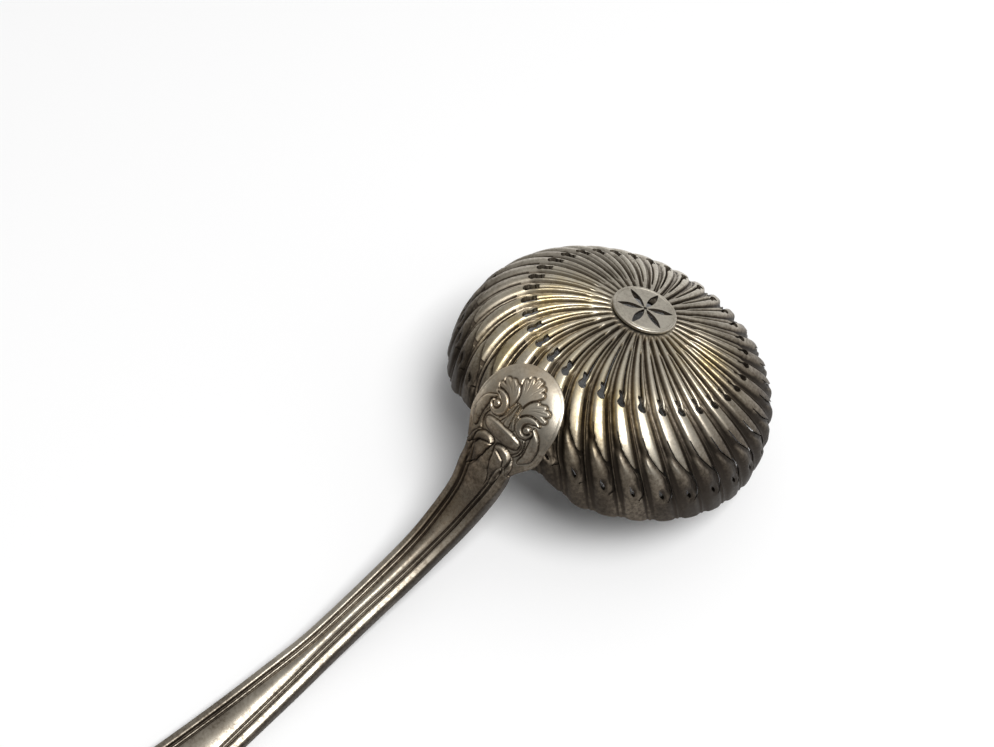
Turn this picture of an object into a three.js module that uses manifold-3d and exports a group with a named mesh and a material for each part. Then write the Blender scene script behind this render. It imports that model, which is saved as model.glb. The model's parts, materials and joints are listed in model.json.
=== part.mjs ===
// A pierced serving ladle with a swirl-fluted bowl, lying face down on its rim and handle.
// The bowl, the base medallion and the handle are separate metalwork, joined with solder.
import * as THREE from "three";
import { mergeVertices } from "three/addons/utils/BufferGeometryUtils.js";
import loadManifold from "manifold-3d";

const wasm = await loadManifold();
wasm.setup();

const degree = Math.PI / 180;

// Bowl, in millimetres: a dome standing on its rim, with the crests of the flutes as its outer form
const bowlRadius = 31;
const bowlDepth = 19.8;
const bowlFullness = 2.49;
const bowlWall = 0.9;
const drainRadius = 4.9;

// Flutes: they leave the medallion straight, swirl more and more down to the ring of keyholes
// and run on evenly from there to the rim, which has a shallow scallop at each
const fluteCount = 36;
const fluteDepth = 0.75;
const swirlAboveRing = 5.4 * degree;
const swirlBelowRing = 18.9 * degree;
const keyholeLean = 2.7 * degree;
const fluteRunOut = 2;
const rimDrop = 0.5;
const scallop = 0.2;

// The rim is cut higher under the heel plate and a little way beside it
const rimRise = 3;
const rimRiseHalf = 16 * degree;
const rimRiseFade = 18 * degree;

// One flute across, as shares of its width and depth: flat ridges run above the keyhole ring,
// each with a saw cut along its right edge, and round lobes run below the ring
const fluteLines = [
  { at: 0.2, ridgeDrop: 0, lobeDrop: 0.35 },
  { at: 0.53, ridgeDrop: 0, lobeDrop: 0, sawCut: true },
  { at: 0.63, ridgeDrop: 0.15, lobeDrop: 0.08 },
  { at: 0.96, ridgeDrop: 1, lobeDrop: 1 },
];

// Keyholes: a round hole with a notch, where the saw cut from beside the medallion ends
const keyholeDistance = 21.5;
const keyholeRadius = 0.72;
const keyholeMouth = 120 * degree;
const notchHeight = 2.1;
const notchLeft = 0.75;
const notchRight = 0.42;
const notchLap = 0.25;
const sawCutLength = 9;

// Base medallion: a pierced disc over the drain opening
const medallionRadius = 5.95;
const medallionThickness = 0.6;
const medallionBevel = 0.2;
const petalCount = 6;
const petalReach = 5.2;
const petalStart = 0.5;
const petalHalfWidth = 0.62;
const petalTurn = 42 * degree;

// Solder joints
const solderThickness = 0.2;
const solderInset = 0.5;
const solderReach = 5;
const jointGap = 0.12;

// Heel plate: the arched end of the handle, laid over the side of the bowl down to the rim;
// its edge is rounded over, and it keeps its width down to the shoulder
const heelHalfWidth = 8.2;
const heelArch = 10.2;
const heelStraight = 8;
const heelThickness = 0.9;
const plateBorder = 2.4;
const plateRound = 0.45;
const shoulderHalfWidth = 7.9;
const shoulderLength = 4;

// Stem of the handle, from the rim to where the tip rounds off: its half width and thickness,
// as shares of the neck's
const neckHalfWidth = 3.35;
const neckThickness = 3.5;
const stemShape = [
  { share: 0, half: 1.53, thick: 0.64 },
  { share: 0.035, half: 1.4, thick: 0.93 },
  { share: 0.085, half: 1.27, thick: 1.05 },
  { share: 0.14, half: 1.17, thick: 1.03 },
  { share: 0.19, half: 1.08, thick: 1 },
  { share: 0.27, half: 1.03, thick: 1 },
  { share: 0.36, half: 1, thick: 1 },
  { share: 0.42, half: 1.03, thick: 0.98 },
  { share: 0.49, half: 1.16, thick: 0.94 },
  { share: 0.565, half: 1.31, thick: 0.85 },
  { share: 0.65, half: 1.52, thick: 0.75 },
  { share: 0.8, half: 2, thick: 0.66 },
  { share: 1, half: 2.57, thick: 0.6 },
];
const tipRound = 10.5;

// Underside of the stem, outwards and upwards from where the heel plate passes the rim,
// in radii of the bowl
const stemPath = [
  { out: -0.008, up: -0.242 },
  { out: 0.043, up: -0.332 },
  { out: 0.156, up: -0.484 },
  { out: 0.384, up: -0.687 },
  { out: 0.713, up: -0.894 },
  { out: 1.048, up: -1.09 },
  { out: 1.426, up: -1.245 },
  { out: 1.726, up: -1.352 },
  { out: 2.219, up: -1.51 },
  { out: 2.797, up: -1.652 },
  { out: 3.452, up: -1.755 },
];
const unbendLength = 12;

// Threaded border of the stem: inset from the edge, and depth below the face
const border = [
  { inset: 0.6, depth: 0.08 },
  { inset: 1.5, depth: 0.18 },
  { inset: 1.8, depth: 0.5 },
  { inset: 2.1, depth: 0.24 },
  { inset: 2.4, depth: 0.5 },
  { inset: 2.65, depth: 0.25 },
];
const borderRunIn = 10;
const edgeRound = 0.25;
const edgeHeight = 0.22;
const panelDrop = 0.09;

// Steps of the facets
const profileSteps = 240;
const ridgeRows = 2;
const lobeRows = 5;
const roundSteps = 48;
const keyholeSteps = 5;
const petalSteps = 6;
const heelKnots = 10;
const spineSteps = 1200;
const archSteps = 6;
const stemSteps = 28;
const stepGrowth = 1.5;
const endTaper = 0.9;
const mergeDistance = 1e-4;

const polished = { metalness: 1, roughness: 0.32 };
const silver = new THREE.MeshStandardMaterial({ color: 0xa39884, ...polished });
const gilded = new THREE.MeshStandardMaterial({ color: 0x9d8f72, ...polished });
const solder = new THREE.MeshStandardMaterial({ color: 0x6f675b, metalness: 1, roughness: 0.6 });

function smoothStep(from, to, x) {
  const t = THREE.MathUtils.clamp((x - from) / (to - from), 0, 1);
  return t * t * (3 - 2 * t);
}

// The bowl's profile: a superellipse from the pole to the rim, measured by distance along it
const profile = [];
for (let step = 0; step <= profileSteps; step += 1) {
  const angle = (step / profileSteps) * Math.PI / 2;
  const radius = bowlRadius * Math.sin(angle) ** (2 / bowlFullness);
  const height = bowlDepth * Math.max(Math.cos(angle), 0) ** (2 / bowlFullness);
  const last = profile[step - 1];
  const distance = last ? last.distance + Math.hypot(radius - last.radius, height - last.height) : 0;
  profile.push({ radius, height, distance });
}
const rimDistance = profile[profileSteps].distance;

// A point of the profile, moved outwards from the crests by an offset
function profileAt(distance, offset = 0) {
  const next = Math.max(1, profile.findIndex((point) => point.distance >= distance));
  const end = distance >= rimDistance ? profileSteps : next;
  const a = profile[end - 1];
  const b = profile[end];
  const span = b.distance - a.distance;
  const share = (distance - a.distance) / span;
  const along = new THREE.Vector2(b.radius - a.radius, b.height - a.height).divideScalar(span);
  const radius = a.radius + (b.radius - a.radius) * share - along.y * offset;
  const height = a.height + (b.height - a.height) * share + along.x * offset;
  return { radius, height, outward: new THREE.Vector2(-along.y, along.x) };
}

// The handle lies towards -Y, and turns are counted from it
function aroundBowl(radius, turn, height) {
  return new THREE.Vector3(radius * Math.sin(turn), -radius * Math.cos(turn), height);
}

function distanceAtRadius(radius) {
  return profile.find((point) => point.radius >= radius).distance;
}

const drainDistance = distanceAtRadius(drainRadius);
const seatDistance = distanceAtRadius(medallionRadius);
const flutePitch = (2 * Math.PI) / fluteCount;

// The medallion lies on its solder over the edge of the drain opening, and the heel plate on its own
const seatHeight = profileAt(drainDistance).height;
const medallionBase = seatHeight + solderThickness + 2 * jointGap;
const heelLift = solderThickness + 2 * jointGap;

// How far the flutes have turned at a distance, counted from the ring of keyholes
function swirlAt(distance) {
  if (distance > keyholeDistance) {
    return (swirlBelowRing * (distance - keyholeDistance)) / (rimDistance - keyholeDistance);
  }
  const share = (distance - seatDistance) / (keyholeDistance - seatDistance);
  return swirlAboveRing * (share * Math.abs(share) - 1);
}

function quad(a, b, c, d) {
  return [a, b, c, a, c, d];
}

function indexed(points, index) {
  const geometry = new THREE.BufferGeometry().setFromPoints(points);
  geometry.setIndex(index);
  return mergeVertices(geometry, mergeDistance);
}

// Joins closed loops of points into a skin, whose first and last loops are folded flat
function skin(loops) {
  const count = loops[0].length;
  const index = [];
  for (let row = 0; row + 1 < loops.length; row += 1) {
    for (let column = 0; column < count; column += 1) {
      const here = row * count + column;
      const beside = row * count + ((column + 1) % count);
      index.push(...quad(here, here + count, beside + count, beside));
    }
  }
  return indexed(loops.flat(), index);
}

// Joins rings of points outside and inside a wall, and closes the wall at every open edge
function shell(outside, inside, isOpen) {
  const count = outside[0].length;
  const inner = outside.length * count;
  const open = (row, column) => row < 0 || row + 1 >= outside.length || isOpen(row, column);
  const at = (row, column) => row * count + ((column + count) % count);
  const index = [];
  for (let row = 0; row + 1 < outside.length; row += 1) {
    for (let column = 0; column < count; column += 1) {
      if (open(row, column)) {
        continue;
      }
      const corners = [at(row, column), at(row, column + 1), at(row + 1, column + 1), at(row + 1, column)];
      const [a, b, c, d] = corners;
      index.push(...quad(a, d, c, b), ...quad(a + inner, b + inner, c + inner, d + inner));
      const beside = [[row - 1, column], [row, column + 1], [row + 1, column], [row, column - 1]];
      beside.forEach((cell, side) => {
        const p = corners[side];
        const q = corners[(side + 1) % 4];
        if (open(...cell)) {
          index.push(...quad(p, q, q + inner, p + inner));
        }
      });
    }
  }
  return indexed([...outside.flat(), ...inside.flat()], index);
}

function toSolid(geometry) {
  const bare = geometry.clone();
  bare.deleteAttribute("normal");
  bare.deleteAttribute("uv");
  const merged = mergeVertices(bare, mergeDistance);
  const vertProperties = new Float32Array(merged.attributes.position.array);
  const triVerts = new Uint32Array(merged.index.array);
  return new wasm.Manifold(new wasm.Mesh({ numProp: 3, vertProperties, triVerts }));
}

function toGeometry(body) {
  const mesh = body.getMesh();
  const geometry = new THREE.BufferGeometry();
  geometry.setAttribute("position", new THREE.BufferAttribute(new Float32Array(mesh.vertProperties), 3));
  geometry.setIndex(new THREE.BufferAttribute(new Uint32Array(mesh.triVerts), 1));
  geometry.computeVertexNormals();
  return geometry;
}

// How far a line of a flute lies below the crests
function fluteDrop(line, distance) {
  const lobed = smoothStep(keyholeDistance - notchHeight, keyholeDistance + notchHeight, distance);
  const begun = smoothStep(seatDistance, seatDistance + fluteRunOut, distance);
  return fluteDepth * begun * THREE.MathUtils.lerp(line.ridgeDrop, line.lobeDrop, lobed);
}

function rimRiseAt(angle) {
  const away = Math.acos(Math.cos(angle));
  return rimRise * (1 - smoothStep(rimRiseHalf, rimRiseHalf + rimRiseFade, away));
}

// One ring of the bowl, moved outwards by an offset
function bowlRing(distance, offset) {
  const turn = keyholeLean + swirlAt(distance);
  const atRim = distance >= rimDistance ? 1 : 0;
  const ring = [];
  for (let flute = 0; flute < fluteCount; flute += 1) {
    for (const line of fluteLines) {
      const spot = profileAt(distance, offset - fluteDrop(line, distance));
      const angle = turn + flutePitch * (flute + line.at - 0.5);
      const edge = rimRiseAt(angle) - rimDrop + scallop * line.lobeDrop;
      ring.push(aroundBowl(spot.radius, angle, spot.height + atRim * edge));
    }
  }
  return ring;
}

// Rings of the bowl: the drain, the seat, both ends of the saw cuts, and the lobes down to the rim
const cutEnd = keyholeDistance - notchHeight + notchLap;
const cutStart = cutEnd - sawCutLength;
const ringDistances = [drainDistance, seatDistance];
for (let row = 0; row <= ridgeRows; row += 1) {
  ringDistances.push(cutStart + (sawCutLength * row) / ridgeRows);
}
for (let row = 1; row <= lobeRows; row += 1) {
  ringDistances.push(cutEnd + ((rimDistance - cutEnd) * row) / lobeRows);
}

function isSawCut(row, column) {
  const line = fluteLines[(column + fluteLines.length) % fluteLines.length];
  const middle = (ringDistances[row] + ringDistances[row + 1]) / 2;
  return Boolean(line.sawCut) && middle > cutStart && middle < cutEnd;
}

// The fluted shell between an outside and an inside offset from the crests
function bowlShell(outset, inset, isOpen) {
  const outside = ringDistances.map((distance) => bowlRing(distance, outset));
  const inside = ringDistances.map((distance) => bowlRing(distance, -inset));
  return shell(outside, inside, isOpen);
}

// Outline of a keyhole: x runs round the bowl, y towards the medallion
function keyholeOutline() {
  const start = 90 * degree + keyholeMouth / 2;
  const end = 450 * degree - keyholeMouth / 2;
  const shape = new THREE.Shape();
  shape.absarc(0, 0, keyholeRadius, start, end, false);
  shape.lineTo(notchRight, notchHeight);
  shape.lineTo(-notchLeft, notchHeight);
  return shape;
}

// Stands a cutter on the bowl, square to its surface, with its y axis laid along the flutes
function placeOnBowl(geometry, distance, turn, length) {
  const spot = profileAt(distance);
  const drift = (swirlAt(distance) - swirlAt(distance - length)) * spot.radius;
  const lean = Math.atan2(drift, length);
  const pitch = Math.atan2(spot.outward.x, spot.outward.y);
  const matrix = new THREE.Matrix4().makeRotationZ(turn);
  matrix.multiply(new THREE.Matrix4().makeRotationX(pitch));
  matrix.multiply(new THREE.Matrix4().makeRotationZ(lean));
  matrix.setPosition(aroundBowl(spot.radius, turn, spot.height));
  return geometry.clone().applyMatrix4(matrix);
}

function makeBowl() {
  const reach = 2 * (bowlWall + fluteDepth);
  const cutter = new THREE.ExtrudeGeometry(keyholeOutline(), {
    depth: 2 * reach, bevelEnabled: false, curveSegments: keyholeSteps,
  });
  cutter.translate(0, 0, -reach);
  let body = toSolid(bowlShell(0, bowlWall, isSawCut));
  for (let flute = 0; flute < fluteCount; flute += 1) {
    const turn = keyholeLean + flutePitch * flute;
    body = body.subtract(toSolid(placeOnBowl(cutter, keyholeDistance, turn, notchHeight)));
  }
  return toGeometry(body);
}

function petalOutline() {
  const middle = (petalStart + petalReach) / 2;
  const shape = new THREE.Shape();
  shape.moveTo(petalStart, 0);
  shape.quadraticCurveTo(middle, -2 * petalHalfWidth, petalReach, 0);
  shape.quadraticCurveTo(middle, 2 * petalHalfWidth, petalStart, 0);
  return shape;
}

function makeMedallion() {
  const top = medallionBase + medallionThickness;
  const section = [
    new THREE.Vector2(0, medallionBase),
    new THREE.Vector2(medallionRadius, medallionBase),
    new THREE.Vector2(medallionRadius, top - medallionBevel),
    new THREE.Vector2(medallionRadius - medallionBevel, top),
    new THREE.Vector2(0, top),
  ];
  let body = toSolid(new THREE.LatheGeometry(section, roundSteps).rotateX(Math.PI / 2));
  const petal = new THREE.ExtrudeGeometry(petalOutline(), {
    depth: 2 * medallionThickness, bevelEnabled: false, curveSegments: petalSteps,
  });
  petal.translate(0, 0, medallionBase - medallionThickness / 2);
  for (let turn = 0; turn < petalCount; turn += 1) {
    const angle = petalTurn + (2 * Math.PI * turn) / petalCount;
    body = body.subtract(toSolid(petal.clone().rotateZ(angle)));
  }
  return toGeometry(body);
}

function makeMedallionSolder() {
  const outer = medallionRadius - solderInset;
  const base = seatHeight + jointGap;
  const section = [
    new THREE.Vector2(drainRadius, base),
    new THREE.Vector2(outer, base),
    new THREE.Vector2(outer, base + solderThickness),
    new THREE.Vector2(drainRadius, base + solderThickness),
    new THREE.Vector2(drainRadius, base),
  ];
  return new THREE.LatheGeometry(section, roundSteps).rotateX(Math.PI / 2);
}

// Spine of the handle: down the side of the bowl under the heel plate, then along the stem's underside
const spinePoints = [];
for (let knot = 0; knot <= heelKnots; knot += 1) {
  const distance = rimDistance - (heelArch + heelStraight) * (1 - knot / heelKnots);
  const spot = profileAt(distance, heelLift);
  spinePoints.push(new THREE.Vector3(0, -spot.radius, spot.height));
}
for (const knot of stemPath) {
  const out = bowlRadius * (1 + knot.out) + heelLift;
  spinePoints.push(new THREE.Vector3(0, -out, bowlRadius * knot.up));
}
const spine = new THREE.CatmullRomCurve3(spinePoints, false, "centripetal");
spine.arcLengthDivisions = spineSteps;
const spineLength = spine.getLength();

// Distances along the handle are counted from the widest line of the heel plate
const tipMiddle = spineLength - heelArch - tipRound;
const stemLength = tipMiddle - heelStraight;
const widths = [
  { along: 0, half: heelHalfWidth, thick: heelThickness },
  { along: shoulderLength, half: shoulderHalfWidth, thick: heelThickness },
  ...stemShape.map((knot) => ({
    along: heelStraight + knot.share * stemLength,
    half: knot.half * neckHalfWidth,
    thick: knot.thick * neckThickness,
  })),
];
const widthCurve = new THREE.CubicInterpolant(
  widths.map((knot) => knot.along),
  widths.flatMap((knot) => [knot.half, knot.thick]),
  2,
);

function stemAt(along) {
  const [half, thick] = widthCurve.evaluate(THREE.MathUtils.clamp(along, 0, tipMiddle));
  return { half, thick };
}

// A point of the handle, by its distance along the spine, sideways and above the underside;
// it wraps round the bowl at the heel plate and straightens out along the stem
function onHandle(along, side, above) {
  const share = THREE.MathUtils.clamp((along + heelArch) / spineLength, 0, 1);
  const base = spine.getPointAt(share);
  const tangent = spine.getTangentAt(share);
  const outward = -base.y - tangent.z * above;
  const height = base.z - tangent.y * above;
  const bent = aroundBowl(outward, side / -base.y, height);
  const straight = new THREE.Vector3(side, -outward, height);
  return bent.lerp(straight, smoothStep(heelStraight, heelStraight + unbendLength, along));
}

function plateDrop(inset) {
  return plateRound * Math.max(0, 1 - inset / plateBorder) ** 2;
}

// Lines of the handle's skin from the middle of its back, over one edge, to the middle of its front:
// inset from the edge, level between the front (0) and the back (1), depth cut into that face
// along the stem, and drop of the heel plate's rounded edge
function handleRails(half) {
  const threads = [...border].reverse();
  const panel = { inset: (half + threads[0].inset) / 2, depth: panelDrop };
  const face = [{ inset: half, depth: 0 }, panel, ...threads];
  const back = face.map((line) => ({ ...line, level: 1, drop: plateDrop(line.inset) }));
  const front = face.map((line) => ({ inset: line.inset, level: 0, depth: -line.depth, drop: 0 }));
  const edge = [
    { inset: edgeRound, level: 1 - edgeHeight, depth: 0, drop: plateRound / 2 },
    { inset: 0, level: 0.5, depth: 0, drop: 0 },
    { inset: edgeRound, level: edgeHeight, depth: 0, drop: 0 },
  ];
  return [...back, ...edge, ...front.reverse()];
}

// Stations of a strip: each has its distance, the length of the round end it belongs to, if any,
// and its turn round that end
function roundEnd(along, length, steps, opening) {
  const stations = [];
  for (let step = 1; step <= steps; step += 1) {
    stations.push({ along, length, turn: (90 * degree * step) / steps });
  }
  return opening ? stations.reverse() : stations;
}

// Distance and sideways place of a rail at a station
function onStation(station, half, inset) {
  const share = 1 - (endTaper * inset) / half;
  const along = station.along + station.length * share * Math.sin(station.turn);
  const side = (half - inset) * Math.cos(station.turn);
  return { along, side };
}

function makeHandle() {
  const stations = roundEnd(0, -heelArch, archSteps, true);
  for (let step = 0; step <= stemSteps; step += 1) {
    stations.push({ along: tipMiddle * (step / stemSteps) ** stepGrowth, length: 0, turn: 0 });
  }
  stations.push(...roundEnd(tipMiddle, tipRound, archSteps, false));
  const loops = stations.map((station) => {
    const { half, thick } = stemAt(station.along);
    const rails = handleRails(half);
    const place = (rail, hand) => {
      const { along, side } = onStation(station, half, rail.inset);
      const onStem = smoothStep(heelStraight, heelStraight + borderRunIn, along);
      const carved = THREE.MathUtils.lerp(rail.drop, rail.depth, onStem);
      return onHandle(along, hand * side, rail.level * thick - carved);
    };
    const right = rails.map((rail) => place(rail, 1));
    const left = rails.slice(1, -1).reverse().map((rail) => place(rail, -1));
    return [...right, ...left];
  });
  return skin(loops);
}

// Solder under the heel plate: an oval bed whose underside fills the flutes
function makeHeelSolder() {
  const half = heelHalfWidth - solderInset;
  const top = -jointGap;
  const bottom = -(heelLift + fluteDepth + bowlWall / 2);
  const insets = [half, half / 2, 0];
  const stations = [
    ...roundEnd(0, solderInset - heelArch, archSteps, true),
    { along: 0, length: 0, turn: 0 },
    ...roundEnd(0, heelStraight - rimRise - solderInset, archSteps, false),
  ];
  const loops = stations.map((station) => {
    const spots = insets.map((inset) => onStation(station, half, inset));
    const rim = spots.slice(1);
    const over = (spot, hand) => onHandle(spot.along, hand * spot.side, top);
    const under = (spot, hand) => onHandle(spot.along, hand * spot.side, bottom);
    return [
      ...spots.map((spot) => over(spot, 1)),
      ...spots.map((spot) => under(spot, 1)).reverse(),
      ...rim.map((spot) => under(spot, -1)),
      ...rim.map((spot) => over(spot, -1)).reverse(),
    ];
  });
  const bed = toSolid(skin(loops));
  const core = toSolid(bowlShell(jointGap, solderReach, () => false));
  return toGeometry(bed.subtract(core));
}

const ladle = new THREE.Group();
function addPiece(name, geometry, material) {
  const mesh = new THREE.Mesh(geometry, material);
  mesh.name = name;
  ladle.add(mesh);
}
const handle = makeHandle();
addPiece("bowl", makeBowl(), gilded);
addPiece("base_medallion", makeMedallion(), silver);
addPiece("medallion_solder", makeMedallionSolder(), solder);
addPiece("handle", handle, silver);
addPiece("heel_solder", makeHeelSolder(), solder);

// It lies on the far edge of the rim and on the stem, which set its tilt
let tilt = 0;
for (let vertex = 0; vertex < handle.attributes.position.count; vertex += 1) {
  const point = new THREE.Vector3().fromBufferAttribute(handle.attributes.position, vertex);
  tilt = Math.max(tilt, Math.atan2(-rimDrop - point.z, bowlRadius - point.y));
}
ladle.rotation.x = -tilt;

// The origin is on the table, under the middle of the ladle
const part = new THREE.Group();
part.add(ladle);
const box = new THREE.Box3().setFromObject(part, true);
const middle = box.getCenter(new THREE.Vector3());
ladle.position.set(-middle.x, -middle.y, -box.min.z);

export default part;
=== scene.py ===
"""A pierced serving ladle in aged silver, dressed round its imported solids.

Lengths are in millimetres in the ladle's own frame: the bowl stands on its rim with its base up, and the
handle lies towards -Y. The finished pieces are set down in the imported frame, in metres.
"""
import json
import math

import bmesh
import bpy
import numpy as np
from mathutils import Matrix, Vector


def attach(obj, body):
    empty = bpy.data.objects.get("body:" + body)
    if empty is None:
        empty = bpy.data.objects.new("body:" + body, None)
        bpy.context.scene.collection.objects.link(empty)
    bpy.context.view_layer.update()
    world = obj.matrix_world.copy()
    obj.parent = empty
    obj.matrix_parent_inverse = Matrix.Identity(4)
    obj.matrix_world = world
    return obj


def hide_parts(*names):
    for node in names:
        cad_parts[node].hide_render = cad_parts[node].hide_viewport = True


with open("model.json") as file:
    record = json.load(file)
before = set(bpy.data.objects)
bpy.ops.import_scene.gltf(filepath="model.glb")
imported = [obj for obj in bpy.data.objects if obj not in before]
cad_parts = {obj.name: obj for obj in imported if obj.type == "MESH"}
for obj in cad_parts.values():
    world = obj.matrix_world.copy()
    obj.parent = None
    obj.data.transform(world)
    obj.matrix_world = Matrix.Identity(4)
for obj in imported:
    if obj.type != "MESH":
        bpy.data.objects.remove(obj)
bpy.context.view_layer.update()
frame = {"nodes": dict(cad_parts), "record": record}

MILLIMETRE = 0.001
DEGREE = math.pi / 180
CURVE_STEPS = 2000
PROFILE_STEPS = 2001
SPINE_STEPS = 3000

# Bowl: the crests of the flutes lie on a superellipse
BOWL_RADIUS = 31
BOWL_DEPTH = 19.8
BOWL_FULLNESS = 2.49
BOWL_WALL = 0.9
DRAIN_RADIUS = 4.9
LIP_HEIGHT = 0.25

# Flutes: they leave the medallion straight, swirl more and more down to the ring of keyholes
# and run on evenly from there to the rim, which has a shallow scallop at each
FLUTE_COUNT = 36
FLUTE_PITCH = 2 * math.pi / FLUTE_COUNT
FLUTE_DEPTH = 0.9
FLUTE_RUN_OUT = 0.8
SWIRL_ABOVE_RING = 5.4 * DEGREE
SWIRL_BELOW_RING = 18.9 * DEGREE
KEYHOLE_LEAN = 2.7 * DEGREE
RIM_DROP = 0.5
SCALLOP = 0.2
SCALLOP_LENGTH = 5
RIM_FLATTENING = 0.7
RIM_FLATTENING_LENGTH = 7
RIM_RISE = 3
RIM_RISE_HALF = 16 * DEGREE
RIM_RISE_FADE = 18 * DEGREE
RIM_RISE_LENGTH = 9

# One flute across, as share of its width and share of its depth: a broad ridge beside the medallion,
# a ridge with a thin one beside it down to the ring, and a lobe with a thin seam beside it below the ring
START_SECTION = [
    (0, 1), (0.08, 0.85), (0.15, 0.4), (0.22, 0.1), (0.33, 0), (0.45, 0), (0.57, 0.05), (0.67, 0.2),
    (0.76, 0.6), (0.85, 0.95), (1, 1),
]
RIDGE_SECTION = [
    (0, 1), (0.07, 0.95), (0.13, 0.6), (0.19, 0.22), (0.26, 0.06), (0.36, 0), (0.46, 0.06), (0.52, 0.25),
    (0.565, 0.62), (0.6, 0.72), (0.635, 0.6), (0.68, 0.25), (0.73, 0.1), (0.78, 0.14), (0.83, 0.5),
    (0.88, 0.88), (0.93, 1), (1, 1),
]
LOBE_SECTION = [
    (0, 1), (0.07, 0.92), (0.14, 0.55), (0.21, 0.2), (0.29, 0.04), (0.4, 0), (0.52, 0), (0.61, 0.04),
    (0.69, 0.2), (0.755, 0.52), (0.81, 0.88), (0.85, 1), (0.89, 0.78), (0.92, 0.66), (0.95, 0.78),
    (0.985, 1), (1, 1),
]

# Keyholes: a round hole with a notch above it; height above the round hole's middle, reach left and right
KEYHOLE_DISTANCE = 21.5
KEYHOLE_MIDDLE = 21.35
KEYHOLE_RADIUS = 0.76
KEYHOLE_ARC = (-85, 25)
KEYHOLE_STEPS = 10
KEYHOLE_NECK = [
    (0.5, -0.54, 0.56), (0.85, -0.36, 0.5), (1.05, -0.3, 0.48), (1.25, -0.4, 0.5), (1.5, -0.5, 0.5),
    (1.85, -0.52, 0.48), (2.15, -0.48, 0.46),
]
NOTCH_HEIGHT = 2.15

# Saw cuts: from beside the medallion into the notch, along the right edge of each ridge, which splits there
SAW_CUT_START = 10.2
SAW_CUT_LAP = 0.35
SAW_CUT_FROM = 0.555
SAW_CUT_TO = 0.635
SAW_CUT_STEPS = 12
SPLIT_BEFORE = 1.5
SPLIT_AFTER = 0.8

# Slits: each crosses its lobe in an S, curls round its lower end and slants in under the lobe's upper part,
# and the lobe is sunk beside it; places are shares of the flute's length and of its width
SLIT_PATH = [
    (0.565, 0.255), (0.605, 0.285), (0.637, 0.335), (0.662, 0.42), (0.691, 0.555), (0.724, 0.7),
    (0.752, 0.77), (0.788, 0.8), (0.824, 0.785), (0.857, 0.725), (0.882, 0.63),
]
SLIT_WIDTH = 0.34
SLIT_SLANT = 0.9
SLIT_TAPER = (0.12, 0.92)
SLIT_FULLNESS = 0.4
SLIT_STEPS = 26
SLIT_SINK = 0.3
SLIT_SINK_EDGE = (0, 0.03)
SLIT_SINK_FADE = (0.1, 0.4)
SLIT_SINK_BEGIN = (0.57, 0.65)
SLIT_SINK_END = (0.8, 0.9)

# Comma-shaped holes below the slits, each in a shallow dish
COMMA_MIDDLE = (0.836, 0.47)
COMMA_LENGTH = 2.1
COMMA_WIDTH = 0.8
COMMA_BEND = 0.4
COMMA_LEAN = 1.4
COMMA_FULLNESS = 0.8
COMMA_ENDS = (0.03, 0.97)
COMMA_STEPS = 14
COMMA_DISH = 0.2
COMMA_DISH_REACH = (0.055, 0.22)
COMMA_DISH_SPAN = (0.3, 1)

# How far the cutters reach out of the bowl's wall and into it
CUT_OUT = 1.2
CUT_IN = 2.6

# Base medallion
MEDALLION_RADIUS = 5.95
MEDALLION_THICKNESS = 0.6
MEDALLION_LIFT = 0.44
PETAL_COUNT = 6
PETAL_TURN = 42 * DEGREE
PETAL_START = 0.3
PETAL_REACH = 5.25
PETAL_HALF_WIDTH = 0.64
PETAL_FULLNESS = 0.9
PETAL_ENDS = (0.015, 0.985)
PETAL_STEPS = 16
CENTRE_HOLE = 0.34
CENTRE_ENDS = (-0.98, 0.98)
CENTRE_STEPS = 14
MOUNT_RADIUS = 4.2
MOUNT_TURN = 12 * DEGREE

# Handle: heel plate, stem and tip
HEEL_LIFT = 0.44
HEEL_HALF_WIDTH = 8.2
HEEL_ARCH = 10.2
HEEL_STRAIGHT = 8
HEEL_THICKNESS = 0.9
PLATE_BORDER = 2.4
PLATE_ROUND = 0.45
SHOULDER_HALF_WIDTH = 7.9
SHOULDER_LENGTH = 4
NECK_HALF_WIDTH = 3.35
NECK_THICKNESS = 3.5

# Stem by share of its length: half width and thickness as shares of the neck's
STEM_SHAPE = [
    (0, 1.53, 0.64), (0.035, 1.4, 0.93), (0.085, 1.27, 1.05), (0.14, 1.17, 1.03), (0.19, 1.08, 1),
    (0.27, 1.03, 1), (0.36, 1, 1), (0.42, 1.03, 0.98), (0.49, 1.16, 0.94), (0.565, 1.31, 0.85),
    (0.65, 1.52, 0.75), (0.8, 2, 0.66), (1, 2.57, 0.6),
]

# Line of the stem's underside from the rim: distance out and height, as shares of the bowl's radius
STEM_PATH = [
    (-0.008, -0.242), (0.043, -0.332), (0.156, -0.484), (0.384, -0.687), (0.713, -0.894), (1.048, -1.09),
    (1.426, -1.245), (1.726, -1.352), (2.219, -1.51), (2.797, -1.652), (3.452, -1.755),
]
TIP_ROUND = 10.5
END_TAPER = 0.9
UNBEND_LENGTH = 12
EDGE_INSET = 0.6
EDGE_UNDER = 0.3
EDGE_LEVEL = 0.5
EDGE_FULLNESS = 0.8

# Threads along the stem: inset from the edge, depth
THREADS = [
    (0.6, 0.18), (0.92, 0.06), (1.25, 0), (1.45, 0.1), (1.64, 0.44), (1.8, 0.54), (1.95, 0.42), (2.1, 0.28),
    (2.26, 0.34), (2.4, 0.54), (2.53, 0.56), (2.7, 0.36),
]
THREAD_START = 5.5
THREAD_FULL = 10
PANEL_EDGE = 2.7
PANEL_DROP = 0.36


def smooth_step(start, end, x):
    share = np.clip((x - start) / (end - start), 0, 1)
    return share * share * (3 - 2 * share)


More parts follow.
